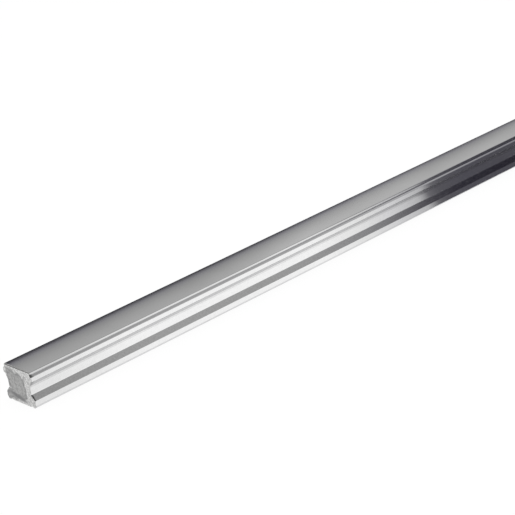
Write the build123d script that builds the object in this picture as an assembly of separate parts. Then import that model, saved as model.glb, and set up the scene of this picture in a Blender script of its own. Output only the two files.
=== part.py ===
from build123d import *
import os
from math import cos, radians, sin, tan

# A profiled guide rail with a clip-on cover strip. All sizes are in millimetres.
# X runs across the rail, Y along it and Z up. The origin is the middle of the underside.

# Bolt holes, from which the length follows
HOLE_COUNT = 9
HOLE_PITCH = 80.0
END_DISTANCE = 20.0  # from an end face to the nearest hole
BOLT_HOLE_DIAMETER = 9.0
COUNTERBORE_DIAMETER = 14.0
COUNTERBORE_DEPTH = 12.0
HOLE_EDGE_BREAK = 0.3

# Rail
RAIL_WIDTH = 34.0  # over the noses, and over the base
RAIL_HEIGHT = 29.0
END_CHAMFER = 0.3

# Head, measured in from the nose and down from the rail's top
SHOULDER_INSET = 1.8  # the head's side stands back from the nose by this
HEAD_EDGE_RADIUS = 0.4
NOTCH_START = 1.05  # the strip's hooks spring into this notch
NOTCH_HEIGHT = 0.5
NOTCH_DEPTH = 0.2
RACEWAY_START = 1.8
NOSE_START = 3.3
NOSE_HEIGHT = 3.5

# Raceways: grooves a little rounder than the balls that roll in them
BALL_DIAMETER = 6.35
GROOVE_CONFORMITY = 0.52  # groove radius over ball diameter
LOWER_RACEWAY_CHORD = 3.7
LOWER_RACEWAY_SLOPE = 47.0  # degrees below the horizontal
FLANK_HEIGHT = 3.2  # straight flank between the lower raceway and the waist

# Waist, flare and base, measured in from the nose and up from the underside
WAIST_INSET = 3.9
WAIST_FILLET = 1.0
FLARE_SLOPE = 47.0  # degrees
BASE_SIDE_TOP = 6.35
BASE_CHAMFER_WIDTH = 1.6
BASE_CHAMFER_HEIGHT = 2.3
PAD_WIDTH = 1.8  # a ground pad along each side of the underside
GROOVE_WIDTH = 3.0  # a shallow groove parts each pad from the middle land
GROOVE_DEPTH = 0.5

# Cover strip: spring steel, sprung over the head and hooked into its two notches
STRIP_THICKNESS = 0.3
STRIP_CLEARANCE = 0.05
STRIP_CROWN = 0.25  # the middle of the strip bows up from its edges by this
STRIP_SETBACK = 1.3  # the strip ends this far before each end face

HALF_WIDTH = RAIL_WIDTH / 2
HEAD_HALF_WIDTH = HALF_WIDTH - SHOULDER_INSET
WAIST_HALF_WIDTH = HALF_WIDTH - WAIST_INSET
NOTCH_TOP = RAIL_HEIGHT - NOTCH_START
NOTCH_DEEPEST = NOTCH_TOP - NOTCH_HEIGHT
GROOVE_RADIUS = GROOVE_CONFORMITY * BALL_DIAMETER
RAIL_LENGTH = (HOLE_COUNT - 1) * HOLE_PITCH + 2 * END_DISTANCE
STRIP_LENGTH = RAIL_LENGTH - 2 * STRIP_SETBACK


def rail_section():
    """The rail's profile: head, noses with a raceway above and below, waist, flare and base."""
    nose_top = RAIL_HEIGHT - NOSE_START
    nose_bottom = nose_top - NOSE_HEIGHT
    slope = radians(LOWER_RACEWAY_SLOPE)
    flank_top = (
        HALF_WIDTH - LOWER_RACEWAY_CHORD * cos(slope),
        nose_bottom - LOWER_RACEWAY_CHORD * sin(slope),
    )
    flare_top = BASE_SIDE_TOP + WAIST_INSET * tan(radians(FLARE_SLOPE))

    with BuildSketch(Plane.XZ) as section:
        with BuildLine():
            head = Polyline(
                (0, RAIL_HEIGHT),
                (HEAD_HALF_WIDTH, RAIL_HEIGHT),
                (HEAD_HALF_WIDTH, RAIL_HEIGHT - RACEWAY_START),
            )
            upper_raceway = RadiusArc(head @ 1, (HALF_WIDTH, nose_top), -GROOVE_RADIUS)
            nose = Line(upper_raceway @ 1, (HALF_WIDTH, nose_bottom))
            lower_raceway = RadiusArc(nose @ 1, flank_top, -GROOVE_RADIUS)
            waist = FilletPolyline(
                lower_raceway @ 1,
                (WAIST_HALF_WIDTH, flank_top[1] - FLANK_HEIGHT),
                (WAIST_HALF_WIDTH, flare_top),
                (HALF_WIDTH, BASE_SIDE_TOP),
                radius=WAIST_FILLET,
            )
            Polyline(
                waist @ 1,
                (HALF_WIDTH, BASE_CHAMFER_HEIGHT),
                (HALF_WIDTH - BASE_CHAMFER_WIDTH, 0),
                (0, 0),
            )
            mirror(about=Plane.YZ)
        make_face()
    return section.sketch


def strip_contour(gap):
    """The head's outline moved out by a gap, bowed at the top, from one hook's tip to the other's."""
    side_x = HEAD_HALF_WIDTH + gap
    bend_x = HEAD_HALF_WIDTH - HEAD_EDGE_RADIUS
    bend_z = RAIL_HEIGHT - HEAD_EDGE_RADIUS
    top_z = RAIL_HEIGHT + gap
    tip_x = side_x - NOTCH_DEPTH * (1 - STRIP_CLEARANCE / NOTCH_HEIGHT)
    tip_z = NOTCH_DEEPEST + STRIP_CLEARANCE
    bend_radius = HEAD_EDGE_RADIUS + gap

    hook = Polyline((tip_x, tip_z), (side_x, NOTCH_TOP), (side_x, bend_z))
    bend = RadiusArc(hook @ 1, (bend_x, top_z), -bend_radius)
    far_hook = Polyline((-tip_x, tip_z), (-side_x, NOTCH_TOP), (-side_x, bend_z))
    RadiusArc(far_hook @ 1, (-bend_x, top_z), bend_radius)
    ThreePointArc(bend @ 1, (0, top_z + STRIP_CROWN), (-bend_x, top_z))
    return hook @ 0, far_hook @ 0


def strip_section():
    """The strip's profile: a thin bowed top, two bent edges and two hooks."""
    with BuildSketch(Plane.XZ) as section:
        with BuildLine():
            inner = strip_contour(STRIP_CLEARANCE)
            outer = strip_contour(STRIP_CLEARANCE + STRIP_THICKNESS)
            for inner_tip, outer_tip in zip(inner, outer):
                Line(inner_tip, outer_tip)
        make_face()
    return section.sketch


def notch_section():
    """The V notches in the head's two sides, which hold the strip's hooks."""
    with BuildSketch(Plane.XZ) as section:
        with BuildLine():
            Polyline(
                (HEAD_HALF_WIDTH, NOTCH_TOP),
                (HEAD_HALF_WIDTH - NOTCH_DEPTH, NOTCH_DEEPEST),
                (HEAD_HALF_WIDTH, RAIL_HEIGHT - RACEWAY_START),
                close=True,
            )
        make_face()
        mirror(about=Plane.YZ)
    return section.sketch


def underside_section():
    """The two shallow grooves in the underside."""
    pad_inner = HALF_WIDTH - BASE_CHAMFER_WIDTH - PAD_WIDTH
    with BuildSketch(Plane.XZ) as section:
        with Locations((pad_inner, 0)):
            Rectangle(GROOVE_WIDTH, GROOVE_DEPTH, align=(Align.MAX, Align.MIN))
        mirror(about=Plane.YZ)
    return section.sketch


def guide_rail():
    """The hardened steel rail, with chamfered ends, a grooved underside and a row of counterbored holes."""
    with BuildPart() as rail:
        add(extrude(rail_section(), amount=RAIL_LENGTH / 2, both=True))
        for end in (rail.faces().sort_by(Axis.Y)[0], rail.faces().sort_by(Axis.Y)[-1]):
            chamfer(end.outer_wire().edges(), END_CHAMFER)
        head_edges = rail.faces().sort_by(Axis.Z)[-1].edges().filter_by(Axis.Y)
        fillet(head_edges, HEAD_EDGE_RADIUS)
        for cut in (notch_section(), underside_section()):
            add(extrude(cut, amount=RAIL_LENGTH / 2, both=True), mode=Mode.SUBTRACT)
        with Locations((0, 0, RAIL_HEIGHT)):
            with GridLocations(HOLE_PITCH, HOLE_PITCH, 1, HOLE_COUNT):
                CounterBoreHole(BOLT_HOLE_DIAMETER / 2, COUNTERBORE_DIAMETER / 2, COUNTERBORE_DEPTH)
        for level in (0, -1):
            face = rail.faces().filter_by(Axis.Z).group_by(Axis.Z)[level].sort_by(SortBy.AREA)[-1]
            chamfer([wire.edges()[0] for wire in face.inner_wires()], HOLE_EDGE_BREAK)
    return rail.part


def cover_strip():
    """The thin strip that hides the bolt holes and slides along the rail's head."""
    return extrude(strip_section(), amount=STRIP_LENGTH / 2, both=True)


def main():
    os.makedirs("parts", exist_ok=True)
    export_step(guide_rail(), "parts/guide_rail.step")
    export_step(cover_strip(), "parts/cover_strip.step")


main()
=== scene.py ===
"""A straight profile guide rail with its clip-on cover strip, in bright bearing steel on a white floor.

X runs across the rail, Y along it and Z up, with the origin in the middle of the underside. Shapes are worked
out in millimetres and go into the meshes in metres.
"""

import logging
import math
from collections.abc import Mapping, Sequence
from dataclasses import dataclass, replace
from enum import Enum, IntEnum
from typing import ClassVar

import bmesh
import bpy
import numpy as np
from mathutils import Matrix, Vector


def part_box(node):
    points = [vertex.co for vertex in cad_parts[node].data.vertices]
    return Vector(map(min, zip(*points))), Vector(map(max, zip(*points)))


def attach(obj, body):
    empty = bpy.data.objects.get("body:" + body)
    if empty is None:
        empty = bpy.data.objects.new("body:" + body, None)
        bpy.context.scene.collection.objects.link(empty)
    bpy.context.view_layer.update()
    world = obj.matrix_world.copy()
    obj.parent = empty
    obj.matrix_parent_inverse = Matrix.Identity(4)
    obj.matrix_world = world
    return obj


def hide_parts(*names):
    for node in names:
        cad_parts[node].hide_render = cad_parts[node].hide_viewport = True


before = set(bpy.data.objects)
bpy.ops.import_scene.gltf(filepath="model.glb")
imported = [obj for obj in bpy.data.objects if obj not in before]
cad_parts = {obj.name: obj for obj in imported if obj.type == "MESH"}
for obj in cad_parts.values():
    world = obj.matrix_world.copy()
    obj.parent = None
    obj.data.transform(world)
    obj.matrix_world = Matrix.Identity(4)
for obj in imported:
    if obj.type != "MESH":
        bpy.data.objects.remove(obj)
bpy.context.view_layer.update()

MM = 0.001  # a millimetre in metres
WELD_GAP = 0.002  # mm, points closer than this become one
STRAIGHT_ON = 0.99999  # cosine above which two stretches of an outline run straight on
ACROSS = 20  # grid steps along each side of the flat round a hole, and across an end face
MIRROR = np.array([-1.0, 1.0])  # turns a profile's right half into its left half
BOTH_ENDS = (-1.0, 1.0)
LEAST_SQUARE = 1e-9  # square mm, keeps a side without length from dividing by nothing
ALONG = (0.0, 1.0, 0.0)
UPWARDS = (0.0, 0.0, 1.0)
DARK = "2D2B35"  # the unlit end of the studio, as the steel mirrors it

# Sockets that go by number: a Map Range's four limits, and a colour Mix's share, two colours and result
FROM_LOW, FROM_HIGH, TO_LOW, TO_HIGH = 1, 2, 3, 4
SHARE, FIRST_COLOUR, SECOND_COLOUR = 0, 6, 7
MIXED = 2

NOISE_SPAN = {FROM_LOW: 0.3, FROM_HIGH: 0.7}  # nearly all of a soft noise's values lie in here
LINE_SPAN = {FROM_LOW: 0.25, FROM_HIGH: 0.75}  # and nearly all of a detailed one's in here

Tree = bpy.types.NodeTree
Socket = bpy.types.NodeSocket
Colour = tuple[float, float, float, float]  # red, green, blue and alpha, in linear light
Point = tuple[float, float, float]
Span = tuple[float, float]
Tones = tuple[tuple[float, str], ...]  # distances in mm, each with a grey as sRGB hex

log = logging.getLogger("guide_rail")


def node_size(node: str) -> np.ndarray:
    """A solid's width, length and height in mm, measured on the frame."""
    low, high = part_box(node)
    return np.round((np.array(high) - np.array(low)) / MM, 3)


def linear(hex_colour: str) -> Colour:
    """Turns an sRGB hex colour to linear light.

    Each channel goes through the sRGB curve: a straight line near black and a power of 2.4 above it.

    Args:
        hex_colour: Six hex digits.

    Returns:
        Red, green, blue and an alpha of 1.
    """
    channels = np.array([int(hex_colour[k : k + 2], 16) for k in (0, 2, 4)]) / 255
    light = np.where(channels <= 0.04045, channels / 12.92, ((channels + 0.055) / 1.055) ** 2.4)
    return (*light.tolist(), 1.0)


def add_node(
    tree: Tree, kind: str, inputs: Mapping[str | int, object] | None = None, **settings: object
) -> bpy.types.Node:
    """Adds one shader node with its settings, values and links.

    Args:
        tree: The tree that the node goes into.
        kind: The node's type, without the word ShaderNode.
        inputs: What each socket gets, by its name or number: a value, or another node's output to link.
        settings: The node's own properties, such as its operation.

    Returns:
        The new node.
    """
    made = tree.nodes.new("ShaderNode" + kind)
    for name, value in settings.items():
        setattr(made, name, value)
    for socket, value in (inputs or {}).items():
        if isinstance(value, Socket):
            tree.links.new(value, made.inputs[socket])
        else:
            made.inputs[socket].default_value = value
    return made


def new_material(name: str) -> tuple[bpy.types.Material, Tree]:
    """Makes an empty node material.

    Args:
        name: The material's name.

    Returns:
        The material and its tree.
    """
    material = bpy.data.materials.new(name)
    material.use_nodes = True
    material.node_tree.nodes.clear()
    return material, material.node_tree


def finish_steel(
    tree: Tree, colour: Socket | Colour, roughness: Socket | float, marks: Socket, depth: float
) -> None:
    """Ends a material in bare steel with tool marks.

    Args:
        tree: The material's tree.
        colour: The steel's colour.
        roughness: Its roughness.
        marks: The marks' height, from 0 to 1.
        depth: How deep the marks are, in mm.
    """
    relief = add_node(tree, "Bump", {"Height": marks, "Distance": depth * MM, "Strength": 1.0})
    steel = add_node(
        tree,
        "BsdfPrincipled",
        {"Base Color": colour, "Metallic": 1.0, "Roughness": roughness, "Normal": relief.outputs[0]},
    )
    add_node(tree, "OutputMaterial", {"Surface": steel.outputs[0]})


class Cut(Enum):
    """Which way a machine left its marks on a face."""

    LENGTHWISE = (0, 2)  # lines along Y, close together across X and Z
    CROSSWISE = (1, 2)  # lines along X


@dataclass(frozen=True)
class LinedSteel:
    """Steel that grinding, drawing or rolling left with fine straight lines.

    The lines are stretched noise: fine in the two directions across them and long in the third, and coarser
    than real so that they show at this size. A second noise clouds the tone as handling and oil do. A band
    before each end is darkened as painted shade, standing in for the dark reflection that the ends show, and
    the second noise breaks the band's border up.
    """

    name: str
    colour: str
    roughness: float
    line_gap: float  # mm between lines
    line_length: float  # mm
    line_depth: float  # mm
    gloss_change: float  # how much the lines change the roughness
    cloud_size: float  # mm
    cloud_change: float  # share by which the clouds darken the colour
    end_shade: float = 0.0  # share by which the band at each end is darker, as painted shade
    cut: Cut = Cut.LENGTHWISE
    rail_end: float = 340.0  # mm from the rail's middle
    end_shade_width: float = 1.3  # mm, the width of the painted end shade's band

    def scale(self) -> Point:
        """How many lines there are to the metre in each direction.

        Returns:
            The counts across, along and up.
        """
        per_metre = np.full(3, 1 / (self.line_length * MM))
        per_metre[list(self.cut.value)] = 1 / (self.line_gap * MM)
        return tuple(per_metre.tolist())

    def end_shading(self, tree: Tree, place: Socket, noise: Socket) -> Socket:
        """The share of the tone that the painted end shade leaves: 1 along the rail, and less in the band at
        each end.

        Args:
            tree: The material's tree.
            place: Where the place comes from.
            noise: What breaks the band's border up.

        Returns:
            The share.
        """
        along = add_node(tree, "SeparateXYZ", {0: place})
        from_middle = add_node(tree, "Math", {0: along.outputs[1]}, operation="ABSOLUTE")
        stray = self.end_shade_width * MM / 4
        wander = add_node(tree, "MapRange", {"Value": noise, **NOISE_SPAN, TO_LOW: -stray, TO_HIGH: stray})
        reach = add_node(tree, "Math", {0: from_middle.outputs[0], 1: wander.outputs[0]}, operation="ADD")
        left = add_node(
            tree,
            "MapRange",
            {
                "Value": reach.outputs[0],
                FROM_LOW: (self.rail_end - self.end_shade_width) * MM,
                FROM_HIGH: (self.rail_end - self.end_shade_width / 2) * MM,
                TO_LOW: 1.0,
                TO_HIGH: 1.0 - self.end_shade,
            },
        )
        return left.outputs[0]

    def material(self) -> bpy.types.Material:
        """Builds the finish as a node material.

        Returns:
            The material.
        """
        material, tree = new_material(self.name)
        place = add_node(tree, "TexCoord").outputs["Object"]
        stretched = add_node(tree, "Mapping", {"Vector": place, "Scale": self.scale()})
        lines = add_node(
            tree,
            "TexNoise",
            {"Vector": stretched.outputs[0], "Scale": 1.0, "Detail": 3.0, "Roughness": 0.6},
        ).outputs["Fac"]
        clouds = add_node(
            tree,
            "TexNoise",
            {"Vector": place, "Scale": 1 / (self.cloud_size * MM), "Detail": 4.0, "Roughness": 0.55},
        ).outputs["Fac"]
        tone = add_node(
            tree, "MapRange", {"Value": clouds, **NOISE_SPAN, TO_LOW: 1 - self.cloud_change, TO_HIGH: 1.0}
        )
        # Painted shade: the band at each end is darkened to stand in for the dark reflection there
        end_shaded = self.end_shading(tree, place, clouds)
        shade = add_node(tree, "Math", {0: tone.outputs[0], 1: end_shaded}, operation="MULTIPLY")
        colour = add_node(
            tree,
            "Mix",
            {
                SHARE: shade.outputs[0],
                FIRST_COLOUR: linear("000000"),
                SECOND_COLOUR: linear(self.colour),
            },
            data_type="RGBA",
        )
        gloss = add_node(
            tree,
            "MapRange",
            {
                "Value": lines,
                **LINE_SPAN,
                TO_LOW: self.roughness - self.gloss_change,
                TO_HIGH: self.roughness + self.gloss_change,
            },
        )
        finish_steel(tree, colour.outputs[MIXED], gloss.outputs[0], lines, self.line_depth)
        return material


@dataclass(frozen=True)
class CutSteel:
    """The end face, left dull by an abrasive cut-off wheel, with the hardened case paler than the core.

    The case shows through the attribute `depth`, the distance in mm from the outline. It gets deeper across
    the rail, its inner border wanders with a noise, and a darker line lies where it ends. The wheel's marks
    are wide arcs, which are rings round a point far to one side. A long darker patch lies low on the face: an
    ellipse whose rim a noise breaks up.
    """

    name: str = "abrasive_cut_end_steel"
    case_colour: str = "DEDEDD"
    border_colour: str = "9A9A9A"
    core_colour: str = "B2B2B1"
    tint_colour: str = "6C6C6D"  # the grain's dark side
    dark_patch_colour: str = "7C7C7D"
    roughness: float = 0.46
    grain_size: float = 1.3  # mm
    grain_share: float = 0.75  # how much of the tint the darkest grain has
    grain_span: Span = (0.42, 0.66)  # the noise's values from no tint to that share
    blotch_size: float = 6.0  # mm
    case_depth: float = 4.8  # mm, in the middle of the rail
    case_lean: float = 0.25  # mm deeper for each mm across
    border_width: float = 1.7  # mm
    border_wander: float = 3.4  # mm
    wheel_middle: Span = (140.0, -90.0)  # mm, across and up from the rail's origin
    mark_gap: float = 1.0  # mm, coarser than real so that the marks show at this size
    mark_depth: float = 0.03  # mm
    dark_patch_middle: Span = (-3.2, 5.0)  # mm, across and up
    dark_patch_size: Span = (12.0, 2.0)  # mm, half its length and half its width
    dark_patch_slope: float = 13.0  # degrees down across the rail
    dark_patch_share: float = 0.9  # how much of its colour it has in the middle
    dark_patch_fade: Span = (0.45, 1.2)  # shares of its half size between which it fades out
    dark_patch_rim: float = 0.2  # share of its half size by which the rim wanders

    def material(self) -> bpy.types.Material:
        """Builds the finish as a node material.

        Returns:
            The material.
        """
        material, tree = new_material(self.name)
        place = add_node(tree, "TexCoord").outputs["Object"]
        grain = add_node(
            tree,
            "TexNoise",
            {"Vector": place, "Scale": 1 / (self.grain_size * MM), "Detail": 5.0, "Roughness": 0.75},
        ).outputs["Fac"]
        blotches = add_node(
            tree, "TexNoise", {"Vector": place, "Scale": 1 / (self.blotch_size * MM), "Detail": 2.0}
        ).outputs["Fac"]
        least, most = self.grain_span
        speckle = add_node(
            tree,
            "MapRange",
            {"Value": grain, FROM_LOW: least, FROM_HIGH: most, TO_LOW: 0.0, TO_HIGH: self.grain_share},
        )
        speckled = add_node(
            tree,
            "Mix",
            {
                SHARE: speckle.outputs[0],
                FIRST_COLOUR: self.hardened(tree, place, blotches),
                SECOND_COLOUR: linear(self.tint_colour),
            },
            data_type="RGBA",
        )
        patched = add_node(
            tree,
            "Mix",
            {
                SHARE: self.dark_patch(tree, place, grain),
                FIRST_COLOUR: speckled.outputs[MIXED],
                SECOND_COLOUR: linear(self.dark_patch_colour),
            },
            data_type="RGBA",
        )
        finish_steel(tree, patched.outputs[MIXED], self.roughness, self.marks(tree, place), self.mark_depth)
        return material

    def hardened(self, tree: Tree, place: Socket, noise: Socket) -> Socket:
        """The steel's own tone: pale in the case, darker at its border and in the core.

        A place's level is its depth less the lean, so the border lies where the level is the case's depth.

        Args:
            tree: The material's tree.
            place: Where the place comes from.
            noise: What makes the border wander.

        Returns:
            The tone as a colour.
        """
        depth = add_node(tree, "Attribute", attribute_name="depth")
        slant = (self.case_lean / MM, 0.0, 0.0)
        lean = add_node(tree, "VectorMath", {0: place, 1: slant}, operation="DOT_PRODUCT")
        stray = self.border_wander / 2
        wander = add_node(tree, "MapRange", {"Value": noise, **NOISE_SPAN, TO_LOW: -stray, TO_HIGH: stray})
        level = add_node(
            tree, "Math", {0: depth.outputs["Fac"], 1: lean.outputs["Value"]}, operation="SUBTRACT"
        )
        level = add_node(tree, "Math", {0: level.outputs[0], 1: wander.outputs[0]}, operation="ADD")
        share = add_node(
            tree,
            "MapRange",
            {
                "Value": level.outputs[0],
                FROM_LOW: self.case_depth - self.border_width,
                FROM_HIGH: self.case_depth + self.border_width,
                TO_LOW: 0.0,
                TO_HIGH: 1.0,
            },
        )
        ramp = add_node(tree, "ValToRGB", {0: share.outputs[0]})
        ramp.color_ramp.elements[0].color = linear(self.case_colour)
        ramp.color_ramp.elements[1].color = linear(self.core_colour)
        ramp.color_ramp.elements.new(0.5).color = linear(self.border_colour)
        return ramp.outputs[0]

    def dark_patch(self, tree: Tree, place: Socket, noise: Socket) -> Socket:
        """How much of the darker patch there is: its share inside the ellipse, and 0 outside.

        Args:
            tree: The material's tree.
            place: Where the place comes from.
            noise: What breaks the rim up.

        Returns:
            The share.
        """
        across, up = (value * MM for value in self.dark_patch_middle)
        half_length, half_width = (value * MM for value in self.dark_patch_size)
        turned = add_node(
            tree,
            "Mapping",
            {
                "Vector": place,
                "Location": (across, 0.0, up),
                "Rotation": (0.0, math.radians(self.dark_patch_slope), 0.0),
                "Scale": (half_length, 1 / MM, half_width),
            },
            vector_type="TEXTURE",
        )
        radius = add_node(tree, "VectorMath", {0: turned.outputs[0]}, operation="LENGTH")
        rim = add_node(
            tree,
            "MapRange",
            {"Value": noise, **NOISE_SPAN, TO_LOW: -self.dark_patch_rim, TO_HIGH: self.dark_patch_rim},
        )
        broken = add_node(tree, "Math", {0: radius.outputs["Value"], 1: rim.outputs[0]}, operation="ADD")
        inner, outer = self.dark_patch_fade
        share = add_node(
            tree,
            "MapRange",
            {
                "Value": broken.outputs[0],
                FROM_LOW: inner,
                FROM_HIGH: outer,
                TO_LOW: self.dark_patch_share,
                TO_HIGH: 0.0,
            },
            interpolation_type="SMOOTHSTEP",
        )
        return share.outputs[0]

    def marks(self, tree: Tree, place: Socket) -> Socket:
        """The height of the wheel's marks: noise over the distance from the wheel's middle.

        Args:
            tree: The material's tree.
            place: Where the place comes from.

        Returns:
            The height, from 0 to 1.
        """
        across, up = (value * MM for value in self.wheel_middle)
        from_wheel = add_node(
            tree, "Mapping", {"Vector": place, "Location": (-across, 0.0, -up), "Scale": (1.0, 0.0, 1.0)}
        )
        distance = add_node(tree, "VectorMath", {0: from_wheel.outputs[0]}, operation="LENGTH")
        per_metre = 1 / (self.mark_gap * MM)
        rings = add_node(
            tree, "Math", {0: distance.outputs["Value"], 1: per_metre}, operation="MULTIPLY"
        )
        marks = add_node(
            tree,
            "TexNoise",
            {"W": rings.outputs[0], "Scale": 1.0, "Detail": 3.0, "Roughness": 0.7},
            noise_dimensions="1D",
        )
        return marks.outputs["Fac"]


@dataclass(frozen=True)
class BoredSteel:
    """The inside of the bolt holes: a drill's and a counterbore's feed marks, which show as thin rings.

    Along the rail the place is wrapped to one pitch, so that the distance from the nearest hole's axis comes
    from the pitch alone. The marks are noise over that distance and the height.
    """

    name: str = "drilled_and_counterbored_steel"
    colour: str = "A9A8A6"
    roughness: float = 0.33
    gloss_change: float = 0.08
    mark_gap: float = 0.3  # mm
    mark_depth: float = 0.01  # mm
    pitch: float = 80.0  # mm

    def material(self) -> bpy.types.Material:
        """Builds the finish as a node material.

        Returns:
            The material.
        """
        material, tree = new_material(self.name)
        place = add_node(tree, "SeparateXYZ", {0: add_node(tree, "TexCoord").outputs["Object"]})
        half_pitch = self.pitch * MM / 2
        along = add_node(
            tree, "Math", {0: place.outputs[1], 1: half_pitch, 2: -half_pitch}, operation="WRAP"
        )
        flat = add_node(tree, "CombineXYZ", {0: place.outputs[0], 1: along.outputs[0]})
        radius = add_node(tree, "VectorMath", {0: flat.outputs[0]}, operation="LENGTH")
        profile = add_node(tree, "CombineXYZ", {0: radius.outputs["Value"], 1: place.outputs[2]})
        marks = add_node(
            tree,
            "TexNoise",
            {"Vector": profile.outputs[0], "Scale": 1 / (self.mark_gap * MM), "Detail": 2.0},
        ).outputs["Fac"]
        gloss = add_node(
            tree,
            "MapRange",
            {
                "Value": marks,
                **NOISE_SPAN,
                TO_LOW: self.roughness - self.gloss_change,
                TO_HIGH: self.roughness + self.gloss_change,
            },
        )
        finish_steel(tree, linear(self.colour), gloss.outputs[0], marks, self.mark_depth)
        return material


# Hardened bearing steel, surface ground along its length: bright, with fine straight lines that pull
# reflections out across them.
GROUND = LinedSteel("ground_bearing_steel", "F2F2F2", 0.12, 0.8, 25.0, 0.004, 0.03, 2.5, 0.05)

# The head's top is ground the same way, and a band at each end is a little darker as painted shade.
GROUND_SHADED_ENDS = replace(GROUND, name="ground_steel_painted_end_shade", end_shade=0.34, end_shade_width=2.6)

# The upper raceways are ground last and lapped, so they mirror what is round them most evenly. A wide band
# at each end is darkened strongly as painted shade, for the dark reflection that they show there.
LAPPED = LinedSteel(
    "lapped_raceway_steel", "F0F0F1", 0.12, 0.7, 30.0, 0.003, 0.02, 2.5, 0.05, end_shade=0.72, end_shade_width=3.2
)

# The hollow under the nose is reached with a narrower, softer wheel, which leaves it even and rougher. Its
# greyer colour is painted shade for the shadowed floor that it mirrors, and a band at each end is darker as
# painted shade too.
UNDERCUT = LinedSteel(
    "undercut_steel_painted_shade", "CACACB", 0.26, 0.7, 30.0, 0.003, 0.03, 2.5, 0.05, end_shade=0.32, end_shade_width=4.0
)

# The waist keeps the cold-drawn skin: a satin with die lines and faint clouds, and a narrow band at each
# end is darkened as painted shade.
DRAWN = LinedSteel(
    "cold_drawn_steel", "F4F4F4", 0.1, 0.8, 12.0, 0.005, 0.03, 2.0, 0.06, end_shade=0.3, end_shade_width=0.9
)

# The flare is the same skin with stronger clouds, and a band at each end is darkened strongly as painted
# shade, for the dark reflection that it shows there.
FLARED = LinedSteel(
    "drawn_steel_painted_end_shade", "F3F3F3", 0.1, 0.8, 8.0, 0.008, 0.03, 1.6, 0.14, end_shade=0.8, end_shade_width=1.8
)

# Under the rail nobody touches the drawn skin up, and it stays rougher. Its darker colour is painted shade
# for the floor's contact shadow that it mirrors, and a band at each end is darker as painted shade.
SHADED_SKIN = LinedSteel("untouched_drawn_steel_painted_shade", "D6D6D7", 0.2, 0.5, 35.0, 0.002, 0.05, 3.0, 0.08, end_shade=0.5)

# The end chamfers are ground by hand across the edge: short scratches that break the line up. Clouds
# darken them in patches by up to about half, which draws a broken dark line round each end.
CHAMFERED = LinedSteel(
    "hand_chamfered_steel", "DEDEDD", 0.18, 0.3, 6.0, 0.002, 0.06, 0.9, 0.55, cut=Cut.CROSSWISE
)

# The strip is thin cold-rolled spring steel: rolling lines, long faint waves, a little darker than the rail.
ROLLED = LinedSteel("cold_rolled_spring_steel", "E2E2E2", 0.08, 0.8, 30.0, 0.004, 0.02, 120.0, 0.13)

# Where the strip was sheared to length and slit to width it is rougher and duller.
SHEARED = LinedSteel(
    "sheared_spring_steel_edge", "D4D3D1", 0.36, 0.15, 1.0, 0.004, 0.06, 1.5, 0.12, cut=Cut.CROSSWISE
)


class RailFace(IntEnum):
    """The rail's material slots."""

    GROUND = 0
    GROUND_SHADED_ENDS = 1
    # the top: ground steel with painted shade at its ends
    LAPPED = 2
    UNDERCUT = 3
    DRAWN = 4
    FLARED = 5
    # the underside's chamfer and grooves: darker as painted contact shade
    SHADED_SKIN = 6
    CHAMFERED = 7
    CUT = 8
    BORED = 9


class StripFace(IntEnum):
    """The strip's material slots."""

    ROLLED = 0
    SHEARED = 1


class Shell:
    """Collects grids of points in mm and welds them into one closed mesh."""

    def __init__(self) -> None:
        """Starts with no points."""
        self.points: list[np.ndarray] = []
        self.quads: list[np.ndarray] = []
        self.slots: list[np.ndarray] = []
        self.depths: list[np.ndarray] = []
        self.count = 0

    def add(self, grid: np.ndarray, slots: int | np.ndarray, depth: np.ndarray | None = None) -> None:
        """Adds a surface given as rows and columns of points.

        Args:
            grid: The points, as rows by columns by 3.
            slots: One material slot, or one for each quad, as an array that spreads over rows and columns.
            depth: How far each point is from the outline, or nothing where that isn't used.
        """
        rows, columns = grid.shape[:2]
        index = np.arange(rows * columns).reshape(rows, columns) + self.count
        quads = np.stack([index[:-1, :-1], index[:-1, 1:], index[1:, 1:], index[1:, :-1]], axis=-1)
        self.points.append(grid.reshape(-1, 3))
        self.quads.append(quads.reshape(-1, 4))
        self.slots.append(np.broadcast_to(slots, (rows - 1, columns - 1)).ravel())
        self.depths.append(np.zeros(rows * columns) if depth is None else depth.ravel())
        self.count += rows * columns

    def piece(self, name: str, materials: Sequence[bpy.types.Material], crease: float) -> bpy.types.Object:
        """Welds the grids, turns their faces outwards and makes the object.

        Args:
            name: The piece's name.
            materials: What its material slots hold, in order.
            crease: Degrees between two faces from which their edge stays sharp.

        Returns:
            The object, with its place in its mesh.
        """
        mesh = bpy.data.meshes.new(name)
        mesh.from_pydata(np.concatenate(self.points) * MM, [], np.concatenate(self.quads))
        mesh.polygons.foreach_set("material_index", np.concatenate(self.slots).astype(np.int32))
        layer = mesh.attributes.new("depth", "FLOAT", "POINT")
        layer.data.foreach_set("value", np.concatenate(self.depths).astype(np.float32))
        for material in materials:
            mesh.materials.append(material)

        welded = bmesh.new()
        welded.from_mesh(mesh)
        bmesh.ops.remove_doubles(welded, verts=welded.verts, dist=WELD_GAP * MM)
        bmesh.ops.dissolve_degenerate(welded, edges=welded.edges, dist=WELD_GAP * MM / 4)
        bmesh.ops.recalc_face_normals(welded, faces=welded.faces)
        open_edges = sum(not edge.is_manifold for edge in welded.edges)
        welded.to_mesh(mesh)
        welded.free()

        mesh.polygons.foreach_set("use_smooth", np.ones(len(mesh.polygons), dtype=bool))
        mesh.set_sharp_from_angle(angle=math.radians(crease))
        made = bpy.data.objects.new(name, mesh)
        bpy.context.scene.collection.objects.link(made)
        weighted = made.modifiers.new("weighted_normals", "WEIGHTED_NORMAL")  # keeps the flat faces flat
        weighted.keep_sharp = True
        log.info("%s: %d faces, %d open edges", name, len(mesh.polygons), open_edges)
        return made


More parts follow.
